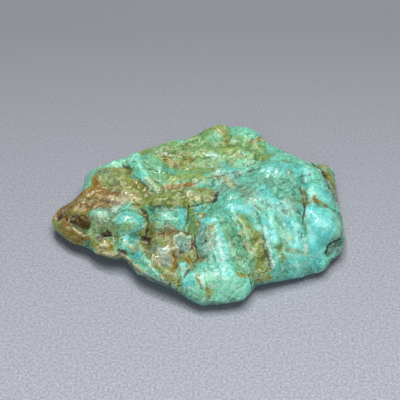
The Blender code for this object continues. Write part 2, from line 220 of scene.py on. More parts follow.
# Grain of the rock: path and reach in photo pixels, direction, width and height of its waves
LAYS = {
    "back_left": Lay(((158, 154), (176, 150), (196, 146)), 20, (1.0, 0.55, 0.0), 0.75, 0.16),
    "back": Lay(((176, 170), (205, 164), (238, 152)), 18, (1.0, 0.15, 0.0), 1.0, 0.10),
    "crest": Lay(((214, 134), (240, 136), (258, 148)), 16, (0.5, -1.0, 0.0), 1.1, 0.10),
    "slants": Lay(((134, 160), (144, 172), (156, 186)), 12, (0.42, -0.9, 0.0), 0.8, 0.13),
    "knob": Lay(((100, 176), (116, 180), (136, 190)), 16, (0.7, -0.7, 0.0), 0.8, 0.08),
    "nose": Lay(((68, 210), (84, 204), (104, 198)), 14, (0.8, 0.5, 0.0), 0.6, 0.08),
    "hump": Lay(((150, 200), (176, 196), (200, 192)), 12, (1.0, 0.2, 0.0), 0.7, 0.13),
    "plateau": Lay(((236, 190), (262, 180), (292, 172)), 24, (0.68, 0.73, 0.0), 0.7, 0.10),
    "flutes": Lay(((226, 222), (236, 248), (244, 268)), 16, (0.28, -1.0, -0.5), 0.7, 0.10),
    "face": Lay(((270, 225), (278, 250), (284, 268)), 16, (0.12, -1.0, -0.5), 0.9, 0.07),
    "front_left": Lay(((202, 226), (204, 246), (210, 264)), 12, (0.2, -1.0, -0.5), 0.6, 0.10),
}

# Where the skin is rough, and where it is worn smooth
ROUGH = strokes({
    "nose": ((62, 208), (80, 208), (104, 204), 12, 0.8),
    "low_left": ((92, 218), (100, 236), (120, 246), 10, 0.8),
    "hump": ((150, 196), (190, 194), (212, 190), 9, 0.6),
    "wrinkles": ((160, 150), (180, 155), (196, 160), 12, 0.6),
    "plateau": ((225, 188), (255, 185), (290, 185), 12, 0.5),
    "front_specks": ((205, 235), (214, 236), 9, 0.6),
    "knob": ((112, 190), (136, 194), 9, 0.5),
})
POLISHED = strokes({
    "big_lobe": ((315, 215), (326, 225), (318, 245), 14, 1.0),
    "small_lobe": ((316, 185), (326, 196), 8, 0.9),
    "face": ((268, 225), (295, 240), (300, 262), 14, 0.7),
    "front_lobe": ((195, 285), (220, 285), (240, 284), 14, 0.6),
    "pale_flute": ((220, 235), (228, 270), 8, 0.7),
    "lump_a": ((120, 222), (134, 220), 9, 0.3),
    "lump_b": ((172, 216), (180, 220), 8, 0.2),
    "basin": ((160, 250), (165, 262), 8, 0.6),
    "plateau_blue": ((236, 207), (250, 209), 6, 0.6),
    "trough": ((190, 168), (220, 163), 8, 0.5),
})

# Minerals' strokes: points in photo pixels, reach in pixels, share of the surface covered
MARKS = {}
MARKS["aqua"] = strokes({
    "face": ((266, 222), (282, 246), (300, 262), 20, 0.85),
    "right": ((322, 188), (326, 218), (316, 250), 15, 0.85),
    "lobe": ((188, 286), (212, 286), (238, 288), 15, 0.85),
    "pale_flute": ((214, 224), (220, 244), (228, 272), 9, 0.85),
    "diagonal": ((130, 156), (144, 172), 7, 0.7),
})
MARKS["moss"] = strokes({
    "back_left": ((150, 150), (172, 152), (200, 156), 20, 1.0),
    "back_front": ((160, 180), (180, 174), (204, 172), 13, 0.95),
    "crest": ((200, 138), (220, 134), (230, 148), 17, 1.0),
    "crest_right": ((240, 138), (254, 144), (262, 156), 14, 0.75),
    "behind_crack": ((226, 158), (246, 160), 10, 0.7),
    "wedge": ((192, 212), (193, 230), 8, 1.0),
    "hump_right": ((196, 192), (204, 196), 10, 0.8),
    "slants": ((150, 162), (160, 180), 9, 0.6),
    "flutes": ((236, 228), (248, 252), (256, 268), 12, 0.45),
    "lip": ((56, 224), (66, 234), (84, 240), 8, 0.4),
})
MARKS["sage"] = strokes({
    "knob": ((98, 184), (116, 182), (140, 192), 17, 1.0),
    "hump": ((142, 200), (170, 197), (204, 192), 12, 1.0),
    "mottled": ((90, 222), (104, 224), (114, 238), 15, 0.65),
    "low_left": ((92, 240), (112, 248), 9, 0.8),
    "basin": ((150, 240), (164, 256), (182, 256), 19, 1.0),
    "basin_low": ((166, 270), (174, 282), 10, 0.8),
    # Painted shade on the underside of the basin's edge
    "under_edge_shade": ((142, 274), (160, 286), (176, 296), 6, 0.9),
    "lump_b_foot": ((152, 226), (170, 228), 7, 0.7),
    "specks": ((210, 226), (214, 244), 7, 0.7),
    "rim": ((322, 166), (332, 178), (337, 196), 8, 0.9),
    "recess": ((302, 190), (306, 204), 6, 0.8),
    "front_foot": ((256, 276), (268, 280), 7, 0.6),
    "knob_top": ((94, 180), (102, 172), (124, 171), 10, 1.0),
    "knob_front": ((104, 190), (124, 190), (140, 196), 9, 0.9),
    "nose_tip": ((52, 208), (52, 218), (58, 230), (72, 240), 6, 0.9),
})
MARKS["umber"] = strokes({
    "nose": ((64, 210), (84, 203), (108, 200), 16, 1.0),
    "nose_back": ((78, 198), (98, 190), 8, 0.9),
    "nose_low": ((60, 216), (72, 218), (86, 222), 8, 1.0),
    "brow": ((112, 196), (134, 198), 6, 0.5),
    "basin_top": ((156, 236), (170, 232), (190, 236), 5, 0.7),
    # Partly the basin's own colour, partly painted shade darkening it
    "basin": ((150, 246), (166, 258), (182, 262), 14, 0.6),
    "nose_tip": ((58, 206), (56, 214), (60, 218), 5, 0.8),
    "nose_heart": ((72, 210), (86, 208), (98, 204), 8, 0.7),
    "lip": ((62, 226), (74, 233), (84, 238), 7, 0.95),
    "flank": ((86, 194), (96, 190), (104, 192), 6, 0.8),
})
MARKS["green"] = strokes({
    "back": ((160, 150), (185, 150), (210, 140), 16, 0.6),
    "crest": ((205, 135), (225, 135), (250, 148), 16, 0.5),
    "trough": ((180, 168), (205, 165), (230, 163), 11, 0.7),
    "hump": ((150, 198), (170, 196), (195, 195), 11, 0.45),
    "knob": ((95, 180), (112, 180), (135, 188), 15, 0.2),
    "wedge": ((190, 216), (193, 227), 7, 0.8),
    "basin": ((155, 240), (160, 258), (180, 262), 15, 0.4),
    "front_streak": ((226, 226), (234, 245), (240, 272), 7, 0.65),
    "olive_flute": ((244, 218), (254, 240), (260, 264), 8, 0.75),
    "right_streak": ((277, 228), (281, 250), (283, 272), 5, 0.55),
    "low_left": ((92, 232), (100, 236), (118, 244), 9, 0.3),
    "lobe": ((207, 290), (222, 292), 8, 0.4),
    "lump_a_heart": ((120, 228), (130, 226), 5, 0.7),
})
MARKS["mint"] = strokes({
    "knob_rim": ((88, 186), (89, 174), (98, 166), (112, 163), (126, 163), 5, 0.75),
    "diagonal_top": ((130, 157), (146, 156), 6, 0.9),
    "diagonal": ((136, 164), (144, 174), (152, 185), 7, 0.7),
    "second_slant": ((150, 160), (158, 172), (164, 182), 6, 0.5),
    "crest_right": ((234, 132), (246, 133), (256, 138), 7, 0.85),
    "crest_left": ((210, 138), (220, 140), 5, 0.6),
    "shelf": ((240, 163), (256, 165), 6, 0.7),
    "plateau_edge": ((276, 154), (292, 158), (306, 166), 5, 0.5),
    "lobe": ((194, 290), (210, 280), (240, 284), 11, 0.75),
    "big_edge": ((336, 214), (339, 228), (336, 240), 6, 0.7),
    "low_right": ((292, 268), (308, 264), (320, 252), 6, 0.4),
    "granular": ((92, 213), (106, 214), (118, 210), 6, 0.6),
    "low_left": ((122, 234), (124, 244), (116, 250), 5, 0.6),
    "basin_rim": ((144, 257), (154, 270), (168, 284), 4, 0.7),
    "lump_b": ((162, 212), (172, 218), (160, 226), 7, 0.5),
    "face": ((270, 222), (280, 244), (300, 256), 14, 0.6),
    "face_right": ((300, 236), (312, 256), 9, 0.6),
    "lobe_low": ((198, 294), (214, 298), (236, 294), 7, 0.9),
    "flute": ((214, 232), (220, 250), (228, 270), 6, 0.6),
    "green_flute": ((226, 224), (236, 246), (243, 268), 7, 0.5),
})
MARKS["sky"] = strokes({
    "big_lobe": ((312, 212), (324, 222), (318, 236), 12, 0.95),
    "big_lobe_low": ((312, 245), (316, 262), 9, 0.7),
    "small_lobe": ((316, 186), (326, 194), 7, 0.6),
    "lump_a": ((118, 222), (128, 214), (140, 217), (138, 230), 5, 0.55),
    "lump_b": ((182, 212), (182, 222), 5, 0.9),
    "wedge": ((197, 210), (204, 210), 4, 0.85),
    "below_wedge": ((202, 222), (208, 220), 5, 0.8),
    "plateau": ((262, 190), (270, 200), (282, 204), 8, 0.6),
    "plateau_back": ((270, 168), (284, 166), (300, 172), 10, 0.6),
    "plateau_front": ((234, 206), (250, 209), 6, 0.95),
    "face": ((266, 222), (272, 236), 6, 0.8),
    "face_right": ((288, 222), (300, 232), (296, 246), 9, 0.7),
    "face_low": ((276, 270), (300, 262), (318, 254), 7, 0.5),
    "pale_flute": ((218, 238), (224, 255), (226, 272), 8, 0.6),
    "lobe_left": ((186, 284), (192, 282), 5, 0.7),
    "basin_blue": ((181, 265), (184, 266), 4, 0.8),
    "low_left": ((126, 240), (136, 238), 5, 0.7),
    "low_left_rim": ((134, 254), (142, 256), 4, 0.7),
    "trough_blue": ((224, 164), (232, 168), 5, 0.6),
    "trough_end": ((206, 174), (210, 173), 4, 0.5),
    "slant_dot": ((161, 164), (162, 165), 2.6, 0.8),
    "recess_top": ((300, 168), (306, 178), (304, 186), 5, 0.7),
    "diagonal_low": ((140, 174), (144, 180), 3, 0.7),
    "low_rim": ((152, 272), (156, 278), 3, 0.6),
})
MARKS["grey"] = strokes({
    "plateau": ((222, 190), (236, 186), (250, 194), 11, 0.6),
    "plateau_specks": ((256, 180), (272, 184), (290, 184), 9, 0.5),
    "plateau_right": ((286, 196), (296, 206), 7, 0.5),
    "front": ((200, 234), (206, 245), (206, 256), 8, 0.6),
    "shelf": ((228, 178), (240, 172), 7, 0.55),
    "recess": ((304, 190), (306, 200), 5, 0.7),
    "lump_b": ((160, 210), (172, 210), 5, 0.6),
    "granular": ((108, 210), (114, 214), 6, 0.6),
    "knob": ((104, 172), (116, 176), (112, 188), 9, 0.4),
    "square": ((178, 240), (186, 244), 8, 0.95),
    "basin": ((156, 250), (164, 254), (166, 262), 8, 0.6),
    # Painted shade on the nose's underside
    "under_nose": ((62, 237), (76, 243), (88, 244), 5, 0.5),
    "small_lobe": ((316, 184), (328, 192), 7, 0.3),
    "wrinkles": ((154, 146), (168, 142), 4, 0.6),
    # Painted shade on the shelf in the undercut below the big lobe
    "notch_shade": ((330, 250), (342, 246), 5, 0.8),
    # Painted shade on the undersides of the basin's edge and the front lobe
    "under_strip_shade": ((142, 276), (160, 287), (178, 296), 4, 0.8),
    "lobe_under_shade": ((188, 300), (212, 303), (240, 299), 3.4, 0.6),
    "mottled": ((94, 218), (104, 222), 8, 0.5),
    "facet": ((200, 228), (206, 240), (204, 254), 6, 0.7),
})
MARKS["olive"] = strokes({
    "hump": ((142, 200), (160, 200), (186, 200), 8, 0.75),
    "hump_back": ((162, 194), (178, 192), 6, 0.6),
    "knob": ((120, 176), (128, 180), (140, 188), 7, 0.75),
    "knob_low": ((100, 186), (110, 186), 6, 0.55),
    "back": ((168, 162), (184, 164), (196, 168), 7, 0.55),
    "crest": ((212, 128), (220, 130), 5, 0.7),
    "crest_middle": ((198, 142), (210, 148), 6, 0.4),
    "crest_low": ((230, 154), (242, 156), 5, 0.5),
    "flute": ((256, 236), (261, 252), (261, 268), 7, 0.8),
    "flute_upper": ((243, 218), (247, 228), 4, 0.6),
    "front_spot": ((241, 274), (247, 275), 3.6, 0.95),
    "right_streak": ((280, 248), (284, 262), 4, 0.6),
    "wedge": ((192, 218), (194, 226), 5, 0.6),
    "basin": ((154, 256), (157, 266), 5, 0.7),
    "basin_right": ((184, 258), (192, 254), 6, 0.6),
    "lip": ((56, 222), (61, 229), 4, 0.9),
    "nose": ((62, 206), (68, 212), 6, 0.3),
    "lobe": ((206, 294), (212, 288), 4, 0.6),
    "low_left": ((92, 238), (98, 244), 5, 0.6),
    "rim": ((322, 168), (330, 174), (335, 186), 5, 0.8),
    "small_lobe_edge": ((320, 202), (328, 206), 2.4, 0.7),
    "lump_b_side": ((153, 216), (157, 217), 2.6, 0.8),
    # Olive darkening along lump A's steep right side: a painted shadow
    "shadow_beside_a": ((143, 212), (149, 226), (148, 238), 5, 0.7),
    "back_right": ((178, 163), (190, 160), 6, 0.8),
})
MARKS["ochre"] = strokes({
    "nose": ((66, 204), (78, 202), (92, 198), (108, 201), 9, 0.6),
    "nose_low": ((72, 212), (84, 214), 7, 0.75),
    "lip": ((68, 234), (78, 238), 7, 0.8),
    "flank": ((96, 180), (97, 188), 5, 0.7),
    "knob_rim": ((130, 178), (140, 186), (148, 193), 4, 0.6),
    "back": ((166, 160), (174, 164), 5, 0.6),
    "back_right": ((181, 162), (191, 159), 4, 0.35),
    "crest": ((222, 128), (224, 138), (229, 147), 5, 0.5),
    "crest_end": ((252, 141), (262, 139), 3.6, 0.8),
    "crest_back": ((188, 145), (193, 149), 4, 0.5),
    "rust_line": ((166, 188), (180, 187), (194, 184), 4.4, 0.7),
    "basin_vein": ((173, 254), (175, 264), (170, 274), 3.8, 0.75),
    "basin_low": ((164, 276), (168, 280), 4, 0.7),
    "basin_left": ((155, 260), (157, 266), 3, 0.5),
    "basin_rim": ((156, 237), (163, 233), (172, 232), 3.4, 0.5),
    "basin_spot": ((187, 258), (189, 262), 2.8, 0.9),
    "square_top": ((176, 233), (188, 233), 2.4, 0.65),
    "square_right": ((193, 238), (194, 248), 3.0, 0.6),
    "lobe_line": ((194, 268), (198, 277), (202, 288), 2.0, 0.75),
    "lobe_foot": ((207, 286), (208, 297), 3, 0.6),
    "lobe": ((241, 274), (247, 276), 2.6, 0.6),
    "small_pocket": ((108, 242), (111, 248), 2.8, 0.9),
    "plateau_back": ((284, 161), (289, 162), 2.8, 0.6),
    "plateau_specks": ((288, 172), (294, 178), 4, 0.45),
    "crisp_line": ((263, 240), (267, 254), (270, 270), 1.6, 0.8),
    "foot": ((266, 274), (268, 279), 3, 0.6),
    "rim": ((324, 174), (332, 186), (336, 200), 3.6, 0.7),
    "wedge": ((198, 214), (204, 214), (198, 224), 3, 0.7),
    "small_lobe_edge": ((314, 203), (326, 206), 1.8, 0.7),
    "front_specks": ((288, 250), (296, 252), 3.6, 0.5),
    "front_brown": ((198, 256), (202, 262), 2.8, 0.6),
    "green_flute": ((240, 256), (248, 270), 2.4, 0.4),
})
MARKS["rust"] = strokes({
    "flank": ((88, 192), (96, 191), (102, 190), 6, 0.95),
    "flank_up": ((95, 178), (97, 187), 3.6, 0.85),
    "nose": ((76, 198), (84, 194), 3.6, 0.5),
    "lip": ((64, 226), (66, 232), 3.6, 0.8),
    "lip_low": ((74, 236), (80, 237), 3.4, 0.6),
    "line": ((174, 187), (188, 186), 3.6, 0.75),
    "line_left": ((165, 187), (170, 188), 2.0, 0.7),
    "knob_specks": ((133, 186), (136, 198), 5, 0.4),
    "back": ((182, 162), (185, 164), 2.4, 0.3),
    "orange": ((313, 196), (314, 201), (318, 202), 3.0, 0.8),
    "rim": ((325, 174), (330, 181), 2.6, 0.9),
    "basin_vein": ((175, 254), (174, 266), 2.2, 0.7),
    "basin_rim": ((160, 235), (166, 230), 2.4, 0.35),
    "pocket": ((110, 244), (111, 247), 1.6, 0.7),
    "right_crack": ((303, 206), (305, 210), 1.8, 0.7),
    "brow": ((108, 200), (113, 204), 2.4, 0.5),
})
MARKS["cream"] = strokes({
    "slant_ridge": ((149, 180), (154, 186), (159, 192), 6, 0.5),
    "knob": ((118, 186), (128, 188), 6, 0.45),
    "knob_foot": ((116, 199), (124, 201), (131, 199), 4, 0.6),
    "knob_pink": ((133, 190), (138, 202), 5, 0.4),
    "brow": ((104, 197), (114, 199), 4, 0.25),
    "lip": ((66, 227), (74, 229), (84, 234), 3.4, 0.4),
    "lip_low": ((70, 238), (80, 236), 3, 0.4),
    "nose": ((76, 206), (86, 212), 8, 0.15),
    "wrinkles": ((160, 154), (176, 154), (190, 153), 4, 0.55),
    "wrinkles_back": ((166, 148), (184, 150), 4, 0.45),
    "rust_line": ((170, 183), (176, 186), 3.4, 0.3),
    "hump": ((188, 193), (196, 197), 6, 0.55),
    "shelf": ((217, 176), (226, 181), (233, 186), 4, 0.55),
    "front_specks": ((211, 228), (215, 243), 5, 0.35),
    "below_specks": ((199, 255), (203, 261), 3.6, 0.55),
    "flute_pink": ((241, 233), (246, 238), 4, 0.42),
    "flute_cream": ((245, 243), (253, 251), 3.8, 0.5),
    "face_pink": ((288, 238), (293, 242), 4, 0.35),
    "face_low": ((290, 250), (297, 252), 4, 0.4),
    "right_pink": ((303, 238), (305, 254), 3.6, 0.42),
    "plateau": ((244, 190), (252, 197), 7, 0.35),
    "plateau_dots": ((292, 197), (297, 200), 3, 0.6),
    "plateau_line": ((254, 204), (264, 213), 3.6, 0.4),
    "granular": ((92, 219), (104, 224), 7, 0.3),
    "crumb": ((100, 246), (106, 245), 3.2, 0.9),
    "pink_dot": ((131, 246), (133, 249), 2.6, 0.8),
    "square_left": ((174, 238), (174, 246), (180, 252), 2.8, 0.75),
    "basin_pink": ((170, 242), (172, 248), 3, 0.5),
    "lump_b_edge": ((163, 224), (172, 228), 4, 0.4),
    "crest": ((222, 130), (228, 140), 4, 0.35),
    "crest_end": ((256, 139), (264, 140), 2.6, 0.6),
    "crisp_foot": ((269, 254), (272, 266), 2.4, 0.6),
    "orange_edge": ((315, 192), (318, 198), 1.6, 0.6),
    "basin_low": ((176, 263), (180, 268), 2.6, 0.5),
    "rim": ((316, 168), (320, 172), 2.6, 0.5),
    # Painted reflection of the floor's light on the lower-left rim's underside
    "under_rim_reflection": ((98, 253), (118, 262), (140, 272), 4.5, 0.8),
    "square_specks": ((166, 240), (172, 236), (180, 235), 4, 0.5),
})
# Whitish marks: partly real whitish specks, partly painted highlights where ridges, lobes and rims
# catch the light
MARKS["pale_and_highlight"] = strokes({
    "pale_spot": ((207, 155), (218, 156), 3.6, 0.7),
    "pale_patch": ((213, 168), (220, 172), 4, 0.55),
    "crest": ((233, 140), (238, 140), 2.6, 0.5),
    "crest_right": ((244, 140), (250, 140), 2.4, 0.4),
    "shelf": ((246, 164), (258, 166), 4, 0.4),
    "granular": ((106, 213), (116, 210), 5, 0.5),
    "granular_left": ((94, 211), (102, 214), 3.4, 0.5),
    "lump_a": ((123, 218), (130, 217), 3, 0.6),
    "lump_b": ((158, 212), (168, 215), 5, 0.4),
    "pale_flute": ((219, 240), (223, 254), (225, 268), 5, 0.55),
    "crisp": ((264, 228), (267, 240), (270, 252), (273, 266), 3.4, 0.6),
    "right": ((304, 236), (305, 250), 3, 0.6),
    "lobe_streak": ((202, 274), (204, 287), 2.2, 0.8),
    "lobe_left": ((184, 287), (192, 288), 1.6, 0.8),
    "lobe_right": ((234, 284), (240, 290), 4, 0.5),
    "basin_rim": ((144, 257), (150, 266), (157, 273), 1.8, 0.6),
    "low_left": ((124, 243), (131, 244), 2.6, 0.7),
    "square": ((174, 238), (178, 250), 2.2, 0.5),
    "hump": ((188, 192), (192, 191), 2.6, 0.6),
    "face": ((270, 216), (272, 222), 2.6, 0.4),
    "back_white": ((276, 168), (276, 172), 2.0, 0.7),
    "slant_top": ((130, 162), (134, 158), 2.6, 0.5),
    "wrinkle": ((160, 153), (172, 154), 2.2, 0.5),
    "face_low": ((304, 252), (310, 256), 2.6, 0.5),
    "front_specks": ((198, 236), (204, 250), 5, 0.35),
    "lobe_top": ((196, 276), (210, 272), (224, 278), 5, 0.4),
    "lobe_heart": ((210, 286), (222, 282), 5, 0.4),
    "face_streak": ((278, 224), (284, 244), 3.4, 0.4),
    "face_right": ((298, 224), (302, 244), 3.4, 0.4),
    "big_lobe": ((318, 214), (330, 226), 5, 0.3),
    "low_edge": ((284, 268), (304, 264), (318, 256), 3.4, 0.4),
    "lump_a_left": ((116, 220), (122, 214), 2.4, 0.5),
    "nose_glint": ((86, 203), (98, 199), 2.0, 0.4),
    "square_top": ((174, 237), (182, 235), (190, 236), 2.2, 0.6),
    "facet_specks": ((202, 232), (208, 240), (206, 252), 5, 0.45),
    "flute_glints": ((222, 230), (226, 246), 3, 0.4),
})
# Dark marks: partly real dark stain in pits, cracks and lines, partly painted shade in pits, clefts,
# the undercut, the basin and beside lump A
MARKS["brown_and_shade"] = strokes({
    # Painted shade in the nose's cleft and along its upper edge, over a dark stain
    "shaded_nose_cleft": ((60, 216), (70, 219), (84, 225), 3.0, 0.5),
    "nose_edge_shade": ((60, 206), (66, 201), 2.4, 0.5),
    "low_left_pit": ((98, 238), (104, 235), (110, 234), 3.8, 0.9),
    "brow": ((104, 201), (113, 204), 3, 0.55),
    "hole_a": ((145, 239), (149, 240), 3.6, 0.9),
    "main_pit": ((217, 193), (214, 201), 3.2, 0.85),
    "small_pit": ((120, 251), (125, 253), 2.8, 0.8),
    "basin_rim": ((165, 229), (172, 231), 2.0, 0.5),
    "rim": ((312, 164), (322, 172), (330, 186), (335, 198), 2.4, 0.7),
    "right_crack": ((304, 204), (304, 216), 2.2, 0.7),
    "front_specks": ((211, 226), (216, 240), 4, 0.35),
    "crisp_line": ((262, 236), (266, 252), (269, 264), 1.2, 0.6),
    "shelf_line": ((262, 168), (248, 172), 1.6, 0.5),
    "knob_pit": ((124, 165), (127, 168), 2.0, 0.8),
    "groove": ((140, 182), (150, 190), (160, 194), 1.6, 0.5),
    "plateau_dots": ((282, 209), (288, 211), 3, 0.45),
    # Painted shade in the undercut below the big lobe
    "notch_shade": ((326, 250), (333, 245), (341, 242), 2.4, 0.3),
    # Painted shade at the foot of the nose above its cleft, over a dark stain
    "nose_foot_shade": ((66, 215), (78, 216), (88, 219), 3.4, 0.5),
    # Darkening along lump A's steep right side: a painted shadow
    "shadow_beside_a": ((144, 212), (148, 224), (147, 236), 3.0, 0.6),
    # Partly the basin's own colour, partly painted shade darkening it
    "basin": ((152, 248), (160, 262), (176, 256), 9, 0.42),
    "nose_specks": ((70, 206), (84, 202), (98, 198), 8, 0.25),
})


class Mineral(NamedTuple):
    colour: tuple
    softness: float
    noise: str


# Minerals in the order they are laid: colour as the photo shows it (0 to 255), softness, and noise
BASE_COLOUR = (106, 197, 175)
MINERALS = {
    "aqua": Mineral((120, 221, 209), 1.4, "broad_x"),
    "moss": Mineral((138, 174, 94), 1.4, "broad_y"),
    "sage": Mineral((142, 150, 78), 1.4, "broad_z"),
    "umber": Mineral((130, 94, 12), 1.2, "broad_x"),
    "green": Mineral((114, 172, 110), 1.8, "broad_x"),
    "mint": Mineral((132, 218, 184), 1.8, "broad_y"),
    "sky": Mineral((96, 209, 208), 1.6, "broad_z"),
    "grey": Mineral((112, 156, 142), 1.2, "middle_x"),
    "olive": Mineral((138, 154, 68), 1.2, "middle_y"),
    "ochre": Mineral((146, 126, 34), 1.0, "middle_z"),
    "cream": Mineral((192, 184, 136), 0.7, "fine_x"),
    "rust": Mineral((146, 112, 14), 0.9, "middle_x"),
    # whitish specks, and painted highlights
    "pale_and_highlight": Mineral((190, 234, 220), 0.9, "fine_y"),
    # partly a real dark stain, partly painted shade
    "brown_and_shade": Mineral((76, 58, 32), 0.9, "fine_z"),
}
MARK_WANDER = Wander(1.3, 0.35, 60.0)


class Patch(NamedTuple):
    size: float
    level: float
    amount: float


# Patches on the sides the photograph doesn't show: size, noise level where they start, amount
HIDDEN = {
    "aqua": Patch(7.0, 0.0, 0.6),
    "moss": Patch(5.0, 0.1, 0.9),
    "sage": Patch(4.0, 0.25, 0.9),
    "mint": Patch(3.0, 0.2, 0.6),
    "ochre": Patch(2.2, 0.35, 0.8),
    "rust": Patch(1.6, 0.5, 0.7),
    "pale_and_highlight": Patch(1.8, 0.4, 0.6),
    "brown_and_shade": Patch(1.4, 0.5, 0.6),
}
HIDDEN_OCTAVES = 2
HIDDEN_SHIFT = 100.0
HIDDEN_SOFTNESS = 0.3
AWAY_FALLOFF = 0.3

# Noises of the material: wave size, detail and shift; each has the channels x, y and z
NOISES = {
    "broad": (1.8, 3.0, 3.0),
    "middle": (1.0, 3.0, 11.0),
    "fine": (0.5, 3.0, 23.0),
    "speck": (0.22, 2.0, 31.0),
}
NOISE_ROUGHNESS = 0.6
NOISE_RANGE = (0.3, 0.7)

# Dark of the cracks: partly the dirt that fills them, partly painted shade inside them
CRACK_DIRT_AND_SHADE = (58, 46, 30)
CRACK_SOFTNESS = 0.8
CRACK_FULL_DEPTH = 0.24

# Hairlines of the rock
VEIN_SPACING = 1.9
VEIN_HALF_WIDTH = 0.14
VEIN_BEND_SIZE = 1.1
VEIN_BEND = 1.6
VEIN_BEND_DETAIL = 3.0
VEIN_TINT = (120, 122, 104)
VEIN_RANGE = (0.3, 0.8)
POLISH_HIDES = 0.8

# Specks: tint or colour, and the range of noise over which they grow
DARK_SPECK = (132, 142, 130)
DARK_SPECK_RANGE = (0.55, 1.0)
LIGHT_SPECK = (214, 240, 224)
LIGHT_SPECK_RANGE = (0.6, 1.0)
LIGHT_SPECK_SHARE = 0.34
BRIGHT_TINT = (292, 292, 288)
DULL_TINT = (222, 222, 206)
DULL_RANGE = (0.45, 1.0)

# Hollows darken, partly dirt and partly painted shade; ridges get a painted highlight: rounds of
# smoothing, and the height that counts as full
HOLLOWS = {"hollow": (4, 0.05), "deep": (30, 0.25)}
HOLLOW_DIRT_AND_SHADE = (170, 168, 140)
HOLLOW_RANGE = (0.1, 1.0)
HOLLOW_SHARE = 0.55
DEEP_RANGE = (0.2, 1.0)
DEEP_SHARE = 0.35
RIDGE_HIGHLIGHT_RANGE = (-0.2, -1.0)
RIDGE_HIGHLIGHT_SHARE = 0.6
RIDGE_HIGHLIGHT_WHITE = 0.15

# Gloss, and the grain that breaks it
ROUGHNESS = 0.2
ROUGHNESS_SPREAD = 0.16
HOLLOW_ROUGHNESS = 0.2
COAT_WEIGHT = 0.6
COAT_ROUGHNESS = 0.08
SPECULAR_LEVEL = 0.2
GRAIN_SIZE = 0.35
GRAIN_DEPTH = 0.13
GRAIN_DETAIL = 3.0
GRAIN_ROUGHNESS = 0.7
GRAIN_STRENGTHS = {"Normal": 0.9, "Coat Normal": 0.25}

# The grey card the stone lies on: its colour darkens from near to far, a painted falloff of the light
FLOOR_SIZE = 4000.0
FLOOR_COLOUR = (170, 174, 187)
FLOOR_NEAR = -55.0
FLOOR_FAR = 60.0
FLOOR_LIGHT_GRAIN = 1.16
FLOOR_DARK_GRAIN = 0.84
FLOOR_FAR_PAINTED_SHADE = 0.74
FLOOR_GRAIN_SIZE = 0.4
FLOOR_GRAIN_DETAIL = 2.0
FLOOR_GRAIN_RANGE = (0.25, 0.75)
FLOOR_ROUGHNESS = 0.75


class Lamp(NamedTuple):
    place: tuple
    size: float
    power: float
    colour: tuple


LAMPS = {
    "softbox": Lamp((60.0, 40.0, 420.0), 340.0, 1.8, (255, 252, 246)),
    "glint": Lamp((-60.0, 200.0, 380.0), 40.0, 0.5, (255, 253, 248)),
    "front_fill": Lamp((-60.0, -420.0, 300.0), 220.0, 0.52, (246, 250, 255)),
}
WORLD_COLOUR = (200, 205, 214)
WORLD_STRENGTH = 0.12

# Blender's mix node has sockets of every kind under one name, so its colour sockets go by number
MIX_FACTOR = 0
MIX_FIRST = 6
MIX_SECOND = 7
MIX_RESULT = 2


def smooth_step(t):
    t = np.clip(t, 0.0, 1.0)
    return t * t * (3.0 - 2.0 * t)


def linear(colour):
    """A colour of 0 to 255 as the photograph shows it, as linear light by the sRGB formula."""
    share = [c / 255.0 for c in colour]
    return tuple(c / 12.92 if c <= 0.04045 else ((c + 0.055) / 1.055) ** 2.4 for c in share)


def waves(points, size, octaves, shift):
    """Smooth noise from about -1 to 1, with waves of one size and finer ones, each half as wide."""
    moved = points / size + shift
    return np.array([noise.fractal(Vector(p), 1.0, 2.0, octaves) for p in moved])


class Photo:
    """Lays places of the photograph on the stone."""

    def __init__(self, skin):
        forward = Vector((0.0, math.cos(CAMERA_ELEVATION), -math.sin(CAMERA_ELEVATION)))
        self.forward = forward
        self.up = Vector((0.0, math.sin(CAMERA_ELEVATION), math.cos(CAMERA_ELEVATION)))
        self.eye = CAMERA_TARGET - forward * CAMERA_DISTANCE
        self.focal = LENS / SENSOR * PHOTO_WIDTH
        corners = [v.co / MM for v in skin.vertices]
        self.tree = BVHTree.FromPolygons(corners, [tuple(p.vertices) for p in skin.polygons])

    def on_skin(self, place):
        """Where the ray through a pixel meets the skin, or the skin's point nearest to the ray."""
        across = (place[0] - PHOTO_WIDTH / 2) / self.focal
        above = (PHOTO_WIDTH / 2 - place[1]) / self.focal
        ray = (self.forward + Vector((1.0, 0.0, 0.0)) * across + self.up * above).normalized()
        hit = self.tree.ray_cast(self.eye, ray)[0]
        if hit is None:
            middle = self.eye + ray * ((EDGE_HEIGHT - self.eye.z) / ray.z)
            hit = self.tree.find_nearest(middle)[0]
        return np.array(hit)

    def path(self, stroke):
        return np.array([self.on_skin(place) for place in stroke.path])


def nearness(points, path, reach):
    """1 along a path, falling smoothly to 0 at reach from it."""
    near = np.zeros(len(points))
    low, high = path.min(axis=0) - reach, path.max(axis=0) + reach
    inside = np.flatnonzero(((points > low) & (points < high)).all(axis=1))
    close = points[inside]
    nearest = np.full(len(close), np.inf)
    for a, b in zip(path[:-1], path[1:]):
        along = b - a
        t = np.clip((close - a) @ along / max(along @ along, SHORTEST), 0.0, 1.0)
        nearest = np.minimum(nearest, np.linalg.norm(close - a - t[:, None] * along, axis=1))
    near[inside] = smooth_step((1.0 - nearest / reach) / FALLOFF)
    return near


def cover(points, photo, table, pixel):
    """The largest amount of any stroke at each point."""
    total = np.zeros(len(points))
    for stroke in table.values():
        near = nearness(points, photo.path(stroke), stroke.reach * pixel)
        total = np.maximum(total, stroke.amount * near)
    return total


